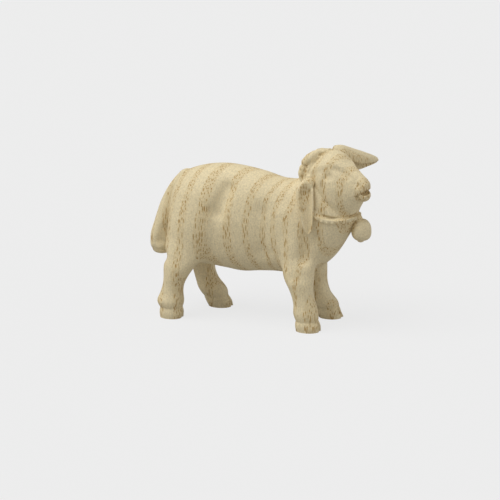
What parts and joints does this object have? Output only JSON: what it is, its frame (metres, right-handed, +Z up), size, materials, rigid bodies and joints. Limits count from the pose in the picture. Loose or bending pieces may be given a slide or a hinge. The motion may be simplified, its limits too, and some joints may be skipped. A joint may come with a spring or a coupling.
{
  "type": "sheep figurine",
  "caption": "Small carved wooden sheep standing on its hooves, head turned to one side, with a collar and a bell at its throat.",
  "frame": {"origin": "on the floor, under the middle of the figure's bounding box", "axes": "+X from the tail towards the nose, +Y to the sheep's left, +Z up"},
  "size_m": [0.0642, 0.029, 0.0495],
  "materials": {
    "carved_ash": "bare carved ash with open pores, sanded, matt",
    "dowel_beech": "plain turned beech"
  },
  "bodies": {
    "root": {"trunk": "carved_ash", "head": "carved_ash", "right_ear": "carved_ash", "left_ear": "carved_ash", "tail": "carved_ash", "right_front_leg": "carved_ash", "left_front_leg": "carved_ash", "right_hind_leg": "carved_ash", "left_hind_leg": "carved_ash", "collar": "carved_ash", "bell": "carved_ash", "neck_dowel": "dowel_beech", "tail_dowel": "dowel_beech", "leg_dowels": "dowel_beech", "bell_peg": "dowel_beech"}
  },
  "joints": []
}
